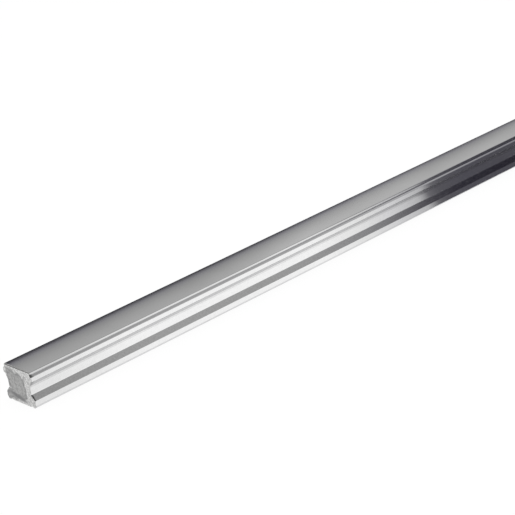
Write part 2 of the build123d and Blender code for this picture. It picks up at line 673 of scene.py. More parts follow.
def ruled(first: np.ndarray, last: np.ndarray, steps: int = ACROSS) -> np.ndarray:
    """Straight lines drawn from each point of one row to the same point of another.

    A point is the first row's times one minus a share plus the last row's times the share.

    Args:
        first: The points at share 0.
        last: As many points, at share 1.
        steps: How many parts each line is cut into.

    Returns:
        A grid with a row for each pair of points and a column for each share.
    """
    share = np.linspace(0, 1, steps + 1)[None, :, None]
    return first[:, None, :] * (1 - share) + last[:, None, :] * share


def carried(outlines: np.ndarray, stations: np.ndarray) -> np.ndarray:
    """Carries a profile along the rail.

    Row by row, a profile's first coordinate becomes X, its second becomes Z, and the station is Y.

    Args:
        outlines: One profile for each station, as stations by points by 2.
        stations: The places along the rail.

    Returns:
        A grid with a row for each station.
    """
    along = np.broadcast_to(stations[:, None], outlines.shape[:2])
    return np.stack([outlines[..., 0], along, outlines[..., 1]], axis=-1)


@dataclass(frozen=True)
class Flat:
    """A straight stretch of an outline, walked with the steel on the right."""

    start: np.ndarray
    end: np.ndarray

    def inward(self, at: np.ndarray) -> np.ndarray:
        """The unit vector into the steel: the walk's direction turned a quarter to the right."""
        along = (self.end - self.start) / np.linalg.norm(self.end - self.start)
        return np.array([along[1], -along[0]])


@dataclass(frozen=True)
class Groove:
    """A round hollow in an outline: part of a circle whose middle lies outside the steel."""

    middle: np.ndarray
    radius: float

    def inward(self, at: np.ndarray) -> np.ndarray:
        """The unit vector into the steel: straight away from the circle's middle."""
        return (at - self.middle) / np.linalg.norm(at - self.middle)


@dataclass(frozen=True)
class Corner:
    """A corner of an outline. A radius above 0 rounds an outer corner, and one below 0 fills an inner one."""

    x: float
    z: float
    radius: float = 0.0
    steps: int = 4

    @property
    def point(self) -> np.ndarray:
        """The sharp corner's place."""
        return np.array([self.x, self.z])


def crossing(before: Flat | Groove, after: Flat | Groove, inset: float, near: np.ndarray) -> np.ndarray:
    """Where two stretches of an outline cross once both are moved into the steel.

    Two straight ones cross at the point whose distances along their inward vectors both grew by the inset,
    and where one goes straight on into the other, their shared point moves in by the inset. A straight one
    cuts the groove's circle, whose radius grew by the inset, half a chord to either side of the foot of the
    perpendicular from the circle's middle.

    Args:
        before: One stretch.
        after: The next one. No two grooves are neighbours.
        inset: How far into the steel both are moved, in mm, or out of it if below 0.
        near: The corner that the crossing belongs to, which picks one of the circle's two cuts.

    Returns:
        The crossing point.
    """
    if isinstance(before, Flat) and isinstance(after, Flat):
        inward = np.array([before.inward(near), after.inward(near)])
        if inward[0] @ inward[1] > STRAIGHT_ON:
            return near + inward[0] * inset
        reach = np.array([inward[0] @ before.start, inward[1] @ after.start]) + inset
        return np.linalg.solve(inward, reach)
    flat, groove = (before, after) if isinstance(before, Flat) else (after, before)
    into = flat.inward(near)
    along = np.array([-into[1], into[0]])
    start = flat.start + into * inset
    foot = start + along * ((groove.middle - start) @ along)
    chord = math.sqrt((groove.radius + inset) ** 2 - np.sum((foot - groove.middle) ** 2))
    cuts = (foot + along * chord, foot - along * chord)
    return min(cuts, key=lambda cut: np.linalg.norm(cut - near))


@dataclass(frozen=True)
class Section:
    """One side of a symmetric section, from the middle of its top round to the middle of its bottom.

    Stretch k runs from corner k to corner k + 1, and `hollows` gives the radius of each that is a groove.
    """

    corners: tuple[Corner, ...]
    hollows: Mapping[int, float]
    hollow_steps: int = 14

    def stretch(self, number: int) -> Flat | Groove:
        """A stretch as a straight line, or as the circle that passes through its two corners.

        The circle's middle lies on the outer side of the two corners' midpoint, and its height over them
        squared is the radius squared less half their distance squared.

        Args:
            number: Which stretch.

        Returns:
            The stretch.
        """
        start, end = self.corners[number].point, self.corners[number + 1].point
        straight = Flat(start, end)
        if number not in self.hollows:
            return straight
        radius = self.hollows[number]
        rise = math.sqrt(radius**2 - np.sum((end - start) ** 2) / 4)
        return Groove((start + end) / 2 - straight.inward(start) * rise, radius)

    def rounding(self, number: int, inset: float) -> np.ndarray:
        """The arc that takes a corner's place when the outline is moved into the steel.

        Its middle is where the two stretches cross when moved in by the radius, so an outer arc shrinks as
        the inset grows, until the corner is sharp. An inner arc's middle lies outside and the arc grows.

        Args:
            number: Which corner.
            inset: How far the outline is moved in, in mm.

        Returns:
            The arc's points, or the corner alone where its radius is 0.
        """
        corner = self.corners[number]
        before, after = self.stretch(number - 1), self.stretch(number)
        if corner.radius == 0:
            return crossing(before, after, inset, corner.point)[None, :]
        outer = corner.radius > 0
        middle = crossing(before, after, max(corner.radius, inset) if outer else corner.radius, corner.point)
        radius = max(corner.radius - inset, 0.0) if outer else inset - corner.radius
        side = -1.0 if outer else 1.0
        first, last = side * before.inward(middle), side * after.inward(middle)
        turn = math.atan2(first[0] * last[1] - first[1] * last[0], first @ last)
        angle = math.atan2(first[1], first[0]) + np.linspace(0, turn, corner.steps + 1)
        return middle + radius * np.stack([np.cos(angle), np.sin(angle)], axis=-1)

    def trace(self, inset: float = 0.0) -> tuple[np.ndarray, np.ndarray]:
        """Walks the outline moved into the steel.

        Corners give their roundings and grooves give points evenly spread over their angle.

        Args:
            inset: How far the outline is moved in, in mm.

        Returns:
            The points, from the end of the flat top to the start of the flat bottom, and for each point the
            number of the stretch that leads to it.
        """
        walked: list[np.ndarray] = []
        stretches: list[int] = []
        for number in range(1, len(self.corners) - 1):
            arc = self.rounding(number, inset)
            before = self.stretch(number - 1)
            if isinstance(before, Groove):
                spokes = np.array([walked[-1][-1], arc[0]]) - before.middle
                angles = np.unwrap(np.arctan2(spokes[:, 1], spokes[:, 0]))
                angle = np.linspace(angles[0], angles[1], self.hollow_steps + 1)[1:-1]
                spoke = (before.radius + inset) * np.stack([np.cos(angle), np.sin(angle)], axis=-1)
                arc = np.concatenate([before.middle + spoke, arc])
            walked.append(arc)
            stretches += [number - 1] * len(arc)
        return np.concatenate(walked), np.array(stretches)


def outline_depth(grid: np.ndarray, outline: np.ndarray) -> np.ndarray:
    """How far each point of an end face is from the outline.

    The distance to a side is measured to its nearest point, whose share along the side is held between 0 and
    1, and the nearest side counts.

    Args:
        grid: Points of the face, as rows by columns by 3.
        outline: The closed outline's corners, X and Z.

    Returns:
        The distances in mm, as rows by columns.
    """
    places = grid[..., None, [0, 2]]
    start = outline[:-1]
    side = outline[1:] - start
    squared = np.maximum(np.sum(side**2, axis=-1), LEAST_SQUARE)
    share = np.clip(np.sum((places - start) * side, axis=-1) / squared, 0, 1)
    nearest = start + share[..., None] * side
    return np.min(np.linalg.norm(places - nearest, axis=-1), axis=-1)


@dataclass
class GuideRail:
    """The rail: a head with a raceway above and below each nose, a waist, a flared base and bolt holes."""

    width: float
    length: float
    height: float

    hole_count: int = 9
    hole_pitch: float = 80.0
    bolt_hole: float = 9.0
    counterbore: float = 14.0
    counterbore_depth: float = 12.0
    counterbore_fillet: float = 0.25
    hole_edge_break: float = 0.3

    end_chamfer: float = 0.3
    edge_radius: float = 0.12  # deburred edges
    head_edge_radius: float = 0.4
    shoulder_inset: float = 1.8
    notch_start: float = 1.05
    notch_height: float = 0.5
    notch_depth: float = 0.2
    raceway_start: float = 1.8
    nose_start: float = 3.3
    nose_height: float = 3.5

    groove_radius: float = 3.302
    lower_chord: float = 3.7
    lower_slope: float = 47.0  # degrees
    flank_height: float = 3.2
    ground_flank: float = 0.38  # share of the flank that the raceway's wheel reaches

    waist_inset: float = 3.9
    waist_fillet: float = 1.0
    flare_slope: float = 47.0  # degrees
    base_side_top: float = 6.35
    base_chamfer_width: float = 1.6
    base_chamfer_height: float = 2.3
    pad_width: float = 1.8  # a pad along each side of the underside
    groove_width: float = 3.0  # between a pad and the middle land
    groove_depth: float = 0.5

    edge_steps: int = 3  # round each edge of the end chamfers
    fillet_steps: int = 4  # round the counterbores' fillets
    flat_rings: int = 6  # round each hole, out to the flat's border
    ring_growth: float = 1.6  # the power that makes the outer rings wider

    # Which slot each stretch of the section takes, from the top round to the underside
    STRETCH_SLOTS: ClassVar[tuple[RailFace, ...]] = (
        RailFace.GROUND_SHADED_ENDS,  # top
        RailFace.LAPPED,  # head side
        RailFace.LAPPED,  # upper raceway
        RailFace.GROUND,  # nose
        RailFace.UNDERCUT,  # lower raceway
        RailFace.UNDERCUT,  # flank, where the wheel reached
        RailFace.DRAWN,  # rest of the flank
        RailFace.DRAWN,  # waist
        RailFace.FLARED,  # flare
        RailFace.GROUND,  # base side
        RailFace.SHADED_SKIN,  # underside chamfer, down to the groove's level
        RailFace.SHADED_SKIN,  # rest of the chamfer
        RailFace.GROUND,  # pad
        RailFace.SHADED_SKIN,  # pad's inner side
        RailFace.SHADED_SKIN,  # groove
        RailFace.SHADED_SKIN,  # land's side
        RailFace.GROUND,  # land
    )
    HEAD_SIDE: ClassVar[int] = 1  # the numbers of some of those stretches
    UPPER_RACEWAY: ClassVar[int] = 2
    LOWER_RACEWAY: ClassVar[int] = 4
    CHAMFER_REST: ClassVar[int] = 11

    def section(self) -> Section:
        """Works out the right half of the rail's section.

        Returns:
            The section, from the middle of the top to the middle of the underside.
        """
        half = self.width / 2
        head = half - self.shoulder_inset
        waist = half - self.waist_inset
        nose_top = self.height - self.nose_start
        nose_bottom = nose_top - self.nose_height
        slope = math.radians(self.lower_slope)
        flank_x = half - self.lower_chord * math.cos(slope)
        flank_z = nose_bottom - self.lower_chord * math.sin(slope)
        ground_x = flank_x + (waist - flank_x) * self.ground_flank
        ground_z = flank_z - self.flank_height * self.ground_flank
        flare_top = self.base_side_top + self.waist_inset * math.tan(math.radians(self.flare_slope))
        pad_outer = half - self.base_chamfer_width
        level_x = pad_outer + self.base_chamfer_width * self.groove_depth / self.base_chamfer_height
        pad_inner = pad_outer - self.pad_width
        land = pad_inner - self.groove_width
        edge = self.edge_radius
        return Section(
            corners=(
                Corner(0, self.height),
                Corner(head, self.height, self.head_edge_radius, steps=8),
                Corner(head, self.height - self.raceway_start),
                Corner(half, nose_top, edge),
                Corner(half, nose_bottom, edge),
                Corner(flank_x, flank_z, edge),
                Corner(ground_x, ground_z),
                Corner(waist, flank_z - self.flank_height, -self.waist_fillet, steps=6),
                Corner(waist, flare_top, -self.waist_fillet, steps=6),
                Corner(half, self.base_side_top, edge),
                Corner(half, self.base_chamfer_height, edge),
                Corner(level_x, self.groove_depth),
                Corner(pad_outer, 0),
                Corner(pad_inner, 0),
                Corner(pad_inner, self.groove_depth),
                Corner(land, self.groove_depth),
                Corner(land, 0),
                Corner(0, 0),
            ),
            hollows={self.UPPER_RACEWAY: self.groove_radius, self.LOWER_RACEWAY: self.groove_radius},
        )

    def notch(self, inset: float) -> np.ndarray:
        """The three corners of the notch in the head's side, for the strip's hook.

        The notch is cut straight through the end chamfer, so its mouth narrows evenly as the side moves in,
        and past its depth it is gone.

        Args:
            inset: How far the side is moved in, in mm.

        Returns:
            The upper, the deepest and the lower corner.
        """
        head = self.width / 2 - self.shoulder_inset
        upper = self.height - self.notch_start
        deepest = upper - self.notch_height
        lower = self.height - self.raceway_start
        closed = min(inset / self.notch_depth, 1.0)
        side = head - inset
        return np.array(
            [
                (side, upper + closed * (deepest - upper)),
                (min(side, head - self.notch_depth), deepest),
                (side, lower + closed * (deepest - lower)),
            ]
        )

    def outline(self, inset: float = 0.0) -> tuple[np.ndarray, np.ndarray]:
        """The right side's outline from the top to the underside, notch included.

        Args:
            inset: How far the outline is moved in, in mm.

        Returns:
            The points, and for each the number of the stretch that leads to it.
        """
        points, stretches = self.section().trace(inset)
        notch = self.notch(inset)
        head_side = int(np.searchsorted(stretches, self.HEAD_SIDE))
        points = np.insert(points, head_side, notch, axis=0)
        return points, np.insert(stretches, head_side, [self.HEAD_SIDE] * len(notch))

    def end_rings(self) -> tuple[np.ndarray, np.ndarray]:
        """The chamfer at an end, with both of its edges rounded, as outlines one behind another.

        The first arc leaves the side and the second meets the end face. Seen along the edge, each is an
        eighth of a circle whose middle stands off by the radius from the two faces that it joins.

        Returns:
            The right side's outlines, and how far each is from the end, in mm.
        """
        radius = self.edge_radius
        start = self.end_chamfer + radius * math.tan(math.pi / 8)
        turn = np.linspace(0, math.pi / 4, self.edge_steps + 1)
        later = turn + math.pi / 4
        insets = np.concatenate([radius - radius * np.cos(turn), start - radius * np.cos(later)])
        from_end = np.concatenate([start - radius * np.sin(turn), radius - radius * np.sin(later)])
        return np.array([self.outline(inset)[0] for inset in insets]), from_end

    def hole_places(self) -> np.ndarray:
        """Where the holes are along the rail, evenly spaced about its middle."""
        return (np.arange(self.hole_count) - (self.hole_count - 1) / 2) * self.hole_pitch

    def cells(self) -> list[Span]:
        """The stretches of rail between the end chamfers that hold one hole each.

        Returns:
            Each cell's two ends along the rail.
        """
        flat_end = self.length / 2 - self.end_rings()[1][0]
        borders = [-flat_end, *(self.hole_places()[:-1] + self.hole_pitch / 2), flat_end]
        return list(zip(borders[:-1], borders[1:]))

    def plate(self, hole: float, cell: Span, half_width: float, radius: float, z: float) -> np.ndarray:
        """The flat face of one cell, from the hole's rim out to the cell's border.

        Walking once round, a point goes from the circle to the rectangle with a share, whose steps grow
        outwards by a power.

        Args:
            hole: The hole's place along the rail.
            cell: The cell's two ends along the rail.
            half_width: Half of the flat's width.
            radius: The rim's radius.
            z: The face's height.

        Returns:
            A grid with a row for each ring.
        """
        step = np.linspace(0, 1, ACROSS, endpoint=False)
        sweep = 2 * step - 1
        low, high = cell
        side = low + (high - low) * step
        edge = np.full(ACROSS, half_width)
        border = np.concatenate(
            [
                np.stack([edge, side], axis=-1),
                np.stack([-half_width * sweep, np.full(ACROSS, high)], axis=-1),
                np.stack([-edge, high + low - side], axis=-1),
                np.stack([half_width * sweep, np.full(ACROSS, low)], axis=-1),
            ]
        )
        angle = np.arange(4 * ACROSS) / (4 * ACROSS) * 2 * math.pi - math.pi / 4
        rim = np.stack([radius * np.cos(angle), hole + radius * np.sin(angle)], axis=-1)
        share = (np.linspace(0, 1, self.flat_rings + 1) ** self.ring_growth)[:, None, None]
        ring = rim * (1 - share) + border * share
        ring = np.concatenate([ring, ring[:, :1]], axis=1)
        return np.concatenate([ring, np.full((*ring.shape[:2], 1), z)], axis=-1)

    def bore(self, hole: float) -> np.ndarray:
        """The inside of one hole: a profile of radius and height turned once round the hole's axis.

        X is the radius times the angle's cosine, Y adds the radius times its sine to the hole's place, and Z
        is the height.

        Args:
            hole: The hole's place along the rail.

        Returns:
            A grid with a row for each point of the profile, from the top to the underside.
        """
        wide, narrow = self.counterbore / 2, self.bolt_hole / 2
        ledge = self.height - self.counterbore_depth
        fillet, rim = self.counterbore_fillet, self.hole_edge_break
        turn = np.linspace(0, math.pi / 2, self.fillet_steps + 1)
        around = wide - fillet + fillet * np.cos(turn)
        down = ledge + fillet - fillet * np.sin(turn)
        profile = np.concatenate(
            [
                [(wide + rim, self.height), (wide, self.height - rim)],
                np.stack([around, down], axis=-1),
                [(narrow + rim / 2, ledge), (narrow, ledge - rim / 2)],
                [(narrow, rim), (narrow + rim, 0)],
            ]
        )
        angle = np.linspace(0, 2 * math.pi, 4 * ACROSS + 1) - math.pi / 4
        x = profile[:, :1] * np.cos(angle)
        y = hole + profile[:, :1] * np.sin(angle)
        z = np.broadcast_to(profile[:, 1:], x.shape)
        return np.stack([x, y, z], axis=-1)

    def end_face(self, ring: np.ndarray) -> list[np.ndarray]:
        """An end face as grids of points X and Z.

        Down to the grooves' level it is straight lines across. The last row also has the pads' and the
        land's corners, two more at each side, so the row above it has its two ends three times. Pads and
        land are what stands below that row.

        Args:
            ring: The end face's right outline, from the top to the land.

        Returns:
            The main grid, the row above the grooves, the land, and the right and the left pad.
        """
        level = int(np.searchsorted(self.outline()[1], self.CHAMFER_REST)) - 1
        outer_foot, inner_foot, inner_top, land_top, land_foot = ring[level + 1 :]
        across = ruled(ring[: level + 1] * MIRROR, ring[: level + 1])
        land = np.array([land_top, land_foot])
        land = ruled(land * MIRROR, land)
        right = np.array([inner_top, ring[level]])
        above = np.concatenate([across[-2, [0, 0]], across[-2], across[-2, [-1, -1]]])
        below = np.concatenate([right[::-1] * MIRROR, land[0], right])
        pad = np.array([[ring[level], inner_top], [outer_foot, inner_foot]])
        return [across[:-1], np.array([above, below]), land, pad, pad * MIRROR]

    def add_sides(self, shell: Shell) -> None:
        """Adds both sides, carried from end to end, and the chamfers round their ends.

        Args:
            shell: What they are added to.
        """
        outline, stretches = self.outline()
        slots = np.array(self.STRETCH_SLOTS)[stretches]
        steps = [np.linspace(low, high, ACROSS + 1) for low, high in self.cells()]
        stations = np.unique(np.concatenate(steps).round(6))
        rings, from_end = self.end_rings()
        for side in (1.0, MIRROR):
            body = np.broadcast_to(outline * side, (len(stations), *outline.shape))
            shell.add(carried(body, stations), slots[1:])
            for end in BOTH_ENDS:
                shell.add(carried(rings * side, end * (self.length / 2 - from_end)), RailFace.CHAMFERED)

    def add_ends(self, shell: Shell) -> None:
        """Adds the end faces, and the chamfers along their top and bottom edges.

        Args:
            shell: What they are added to.
        """
        rings, from_end = self.end_rings()
        last = rings[-1]
        closed = np.concatenate([last, last[::-1] * MIRROR, last[:1]])
        for end in BOTH_ENDS:
            places = end * (self.length / 2 - from_end)
            for edge in (0, -1):
                across = ruled(rings[:, edge] * MIRROR, rings[:, edge])
                shell.add(carried(across, places), RailFace.CHAMFERED)
            for patch in self.end_face(last):
                face = np.insert(patch, 1, places[-1], axis=-1)
                shell.add(face, RailFace.CUT, outline_depth(face, closed))

    def add_flats(self, shell: Shell) -> None:
        """Adds the top and the underside cell by cell, each with its hole.

        Args:
            shell: What they are added to.
        """
        outline = self.outline()[0]
        rim = self.hole_edge_break
        for hole, cell in zip(self.hole_places(), self.cells()):
            top = self.plate(hole, cell, outline[0, 0], self.counterbore / 2 + rim, self.height)
            underside = self.plate(hole, cell, outline[-1, 0], self.bolt_hole / 2 + rim, 0.0)
            shell.add(top, RailFace.GROUND_SHADED_ENDS)
            shell.add(underside, RailFace.GROUND)
            shell.add(self.bore(hole), RailFace.BORED)

    def build(self) -> bpy.types.Object:
        """Builds the rail as one closed mesh and dresses it.

        Returns:
            The rail.
        """
        shell = Shell()
        self.add_sides(shell)
        self.add_ends(shell)
        self.add_flats(shell)
        lined = (GROUND, GROUND_SHADED_ENDS, LAPPED, UNDERCUT, DRAWN, FLARED, SHADED_SKIN, CHAMFERED)
        finishes = (*lined, CutSteel(), BoredSteel(pitch=self.hole_pitch))
        piece = shell.piece("ground_guide_rail", [finish.material() for finish in finishes], crease=30.0)
        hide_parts("guide_rail")
        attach(piece, "rail")
        return piece


@dataclass
class CoverStrip:
    """The thin strip over the rail's head: a bowed top, two bent edges and two hooks."""

    length: float
    rail: GuideRail

    reach: float = 0.75  # how far each end goes past the solid's, to the start of the rail's end
    thickness: float = 0.3
    clearance: float = 0.05
    crown: float = 0.25
    end_crown: float = 0.05  # the ends are pressed down onto the head
    pressed: float = 0.4  # over this length
    edge_round: float = 0.06  # how deep the sheared edges are rounded

    length_steps: int = 68
    press_steps: int = 8
    crown_steps: int = 48
    bend_steps: int = 10
    tip_steps: int = 8
    round_steps: int = 4

    def contour(self, gap: float, lift: float, crown: float) -> np.ndarray:
        """The head's outline moved out by a gap, from one hook's tip over the top to the other's.

        The hook is a straight line that leans into the notch. The bend is a quarter circle whose radius is
        the head's edge radius plus the gap. The crown is the arc of a circle that rises above the line
        between the bends by the crown's height.

        Args:
            gap: How far out from the head, in mm.
            lift: How far above the tip's lowest point the hook ends, in mm.
            crown: The crown's height, in mm.

        Returns:
            The points, X and Z.
        """
        rail = self.rail
        head = rail.width / 2 - rail.shoulder_inset
        radius = rail.head_edge_radius
        hook_top = rail.height - rail.notch_start
        tip = hook_top - rail.notch_height + self.clearance + lift
        lean = rail.notch_depth / rail.notch_height
        hook = np.array([(head + gap - lean * (hook_top - tip), tip), (head + gap, hook_top)])
        turn = np.linspace(0, math.pi / 2, self.bend_steps + 1)
        bend = np.stack([np.cos(turn), np.sin(turn)], axis=-1) * (radius + gap)
        bend += (head - radius, rail.height - radius)
        half_span = head - radius
        curve = (half_span**2 + crown**2) / (2 * crown)
        x = np.linspace(half_span, 0, self.crown_steps // 2 + 1)[1:]
        rise = np.sqrt(curve**2 - x**2) - (curve - crown)
        bow = np.stack([x, rail.height + gap + rise], axis=-1)
        right = np.concatenate([hook, bend, bow])
        return np.concatenate([right, right[-2::-1] * MIRROR])

    def ring(self, half: float, crown: float) -> np.ndarray:
        """The strip's closed section, thinned to the half thickness given.

        The outside runs from the right tip to the left one and the inside comes back. Each tip is half an
        ellipse, as wide as the strip is thick and twice as deep as the sheared edge's rounding.

        Args:
            half: Half of the thickness at this place along the strip, in mm.
            crown: The crown's height there, in mm.

        Returns:
            The section's points, the first one again at the end.
        """
        middle = self.clearance + self.thickness / 2
        turn = np.linspace(0, math.pi, self.tip_steps + 1)
        gaps = middle + half * np.cos(turn)
        lifts = self.edge_round * (1 - np.sin(turn))
        left_tip = np.array([self.contour(gap, lift, crown)[-1] for gap, lift in zip(gaps, lifts)])
        right_tip = left_tip[::-1] * MIRROR
        outside = self.contour(middle + half, self.edge_round, crown)
        inside = self.contour(middle - half, self.edge_round, crown)[::-1]
        return np.concatenate([outside[:-1], left_tip, inside[1:-1], right_tip, outside[:1]])

    def build(self) -> bpy.types.Object:
        """Builds the strip as one closed mesh and dresses it.

        Towards an end the crown sinks by half a cosine wave. The sheared end is rounded by a quarter turn.

        Returns:
            The strip.
        """
        half = self.thickness / 2
        body = self.ring(half, self.crown)
        tip = self.length / 2 + self.reach
        sunk = self.edge_round + self.pressed
        stations = np.linspace(-1, 1, self.length_steps + 1) * (tip - sunk)
        shell = Shell()
        shell.add(carried(np.broadcast_to(body, (len(stations), *body.shape)), stations), StripFace.ROLLED)

        share = np.linspace(0, 1, self.press_steps + 1)
        crowns = self.end_crown + (self.crown - self.end_crown) * (1 + np.cos(math.pi * share)) / 2
        easing = np.array([self.ring(half, crown) for crown in crowns])
        turn = np.linspace(0, math.pi / 2, self.round_steps + 1)
        rounding = np.array([self.ring(thin, self.end_crown) for thin in half * np.cos(turn)])
        for end in BOTH_ENDS:
            eased = end * (tip - sunk + self.pressed * share)
            rounded = end * (tip - self.edge_round * (1 - np.sin(turn)))
            shell.add(carried(easing, eased), StripFace.ROLLED)
            shell.add(carried(rounding, rounded), StripFace.SHEARED)
        piece = shell.piece("rolled_cover_strip", [ROLLED.material(), SHEARED.material()], crease=50.0)
        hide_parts("cover_strip")
        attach(piece, "strip")
        return piece


@dataclass(frozen=True)
class ViewCamera:
    """The picture's viewpoint, worked out from the rail's straight edges and the shape of its end."""

    picture: float = 515.0  # pixels on a side
    focal: float = 1890.15  # pixels
    sensor: float = 36.0  # mm
    azimuth: float = 48.09  # degrees, from looking along the rail
    elevation: float = 22.264  # degrees above the horizon
    roll: float = 7.097  # degrees, the picture's right-hand side sinks
    distance: float = 1588.09  # mm along the optical axis
    aim: Point = (-23.037, -67.47, 11.686)  # mm, where the axis is at that distance
    sight: float = 100.0  # metres, past which it sees nothing

    def place(self) -> bpy.types.Object:
        """Makes the camera and gives it to the scene.

        Its back vector comes from the two angles, its right-hand vector is the level one turned about the
        back vector by the roll, and its up vector is square to both.

        Returns:
            The camera.
        """
        azimuth, elevation, roll = (math.radians(v) for v in (self.azimuth, self.elevation, self.roll))
        flat = math.cos(elevation)
        back = Vector((math.sin(azimuth) * flat, -math.cos(azimuth) * flat, math.sin(elevation)))
        level = Vector((math.cos(azimuth), math.sin(azimuth), 0.0))
        upright = back.cross(level)
        right = level * math.cos(roll) - upright * math.sin(roll)
        up = back.cross(right)
        lens = bpy.data.cameras.new("picture_camera")
        lens.sensor_width = self.sensor
        lens.lens = self.focal * self.sensor / self.picture
        lens.clip_end = self.sight
        camera = bpy.data.objects.new("picture_camera", lens)
        place = (Vector(self.aim) + back * self.distance) * MM
        camera.matrix_world = Matrix.Translation(place) @ Matrix((right, up, back)).transposed().to_4x4()
        bpy.context.scene.collection.objects.link(camera)
        bpy.context.scene.camera = camera
        return camera


def upright(start: Span, end: Span, low: float, high: float) -> list[Point]:
    """The corners of an upright face between two places on the floor."""
    return [(*start, low), (*end, low), (*end, high), (*start, high)]


def flat_face(name: str, corners: Sequence[Point], material: bpy.types.Material) -> bpy.types.Object:
    """Makes one flat face of the studio.

    Args:
        name: Its name.
        corners: Its four corners in mm, in order round it.
        material: What it is made of.

    Returns:
        The face's object.
    """
    mesh = bpy.data.meshes.new(name)
    mesh.from_pydata(np.array(corners) * MM, [], [(0, 1, 2, 3)])
    mesh.materials.append(material)
    made = bpy.data.objects.new(name, mesh)
    bpy.context.scene.collection.objects.link(made)
    return made


@dataclass(frozen=True)
class Card:
    """A studio card that only reflections see, toned from one edge to another.

    A place's tone depends on its distance along `axis`, in mm, and `tones` gives the distances and the grey
    that the steel mirrors there. Where a card has `shades`, its tone is times their grey, which goes by the
    distance along the rail.
    """

    name: str
    corners: Sequence[Point]  # mm, in order round the card
    axis: Point
    tones: Tones
    shades: Tones = ((0.0, "FFFFFF"), (1000.0, "FFFFFF"))

    @staticmethod
    def ramp(tree: Tree, place: Socket, axis: Point, tones: Tones) -> Socket:
        """The tone of a place, by its distance along an axis.

        Args:
            tree: The card's node tree.
            place: Where the place comes from.
            axis: The axis.
            tones: Distances in mm and their greys, in order.

        Returns:
            The tone as a colour.
        """
        along = add_node(tree, "VectorMath", {0: place, 1: axis}, operation="DOT_PRODUCT")
        first, last = tones[0][0], tones[-1][0]
        share = add_node(
            tree,
            "MapRange",
            {
                "Value": along.outputs["Value"],
                FROM_LOW: first * MM,
                FROM_HIGH: last * MM,
                TO_LOW: 0.0,
                TO_HIGH: 1.0,
            },
        )
        ramp = add_node(tree, "ValToRGB", {0: share.outputs[0]})
        stops = ramp.color_ramp.elements
        for number, (distance, tone) in enumerate(tones):
            position = (distance - first) / (last - first)
            stop = stops[number] if number < len(stops) else stops.new(position)
            stop.position = position
            stop.color = linear(tone)
        return ramp.outputs[0]

    def build(self) -> bpy.types.Object:
        """Makes the card as one face that shines with its own tone.

        Returns:
            The card.
        """
        material, tree = new_material(self.name)
        place = add_node(tree, "TexCoord").outputs["Object"]
        tone = add_node(
            tree,
            "Mix",
            {
                SHARE: 1.0,
                FIRST_COLOUR: self.ramp(tree, place, self.axis, self.tones),
                SECOND_COLOUR: self.ramp(tree, place, ALONG, self.shades),
            },
            data_type="RGBA",
            blend_type="MULTIPLY",
        )
        shine = add_node(tree, "Emission", {"Color": tone.outputs[MIXED], "Strength": 1.0})
        add_node(tree, "OutputMaterial", {"Surface": shine.outputs[0]})
        card = flat_face(self.name, self.corners, material)
        card.visible_camera = False
        card.visible_diffuse = False
        card.visible_shadow = False
        card.visible_transmission = False
        return card


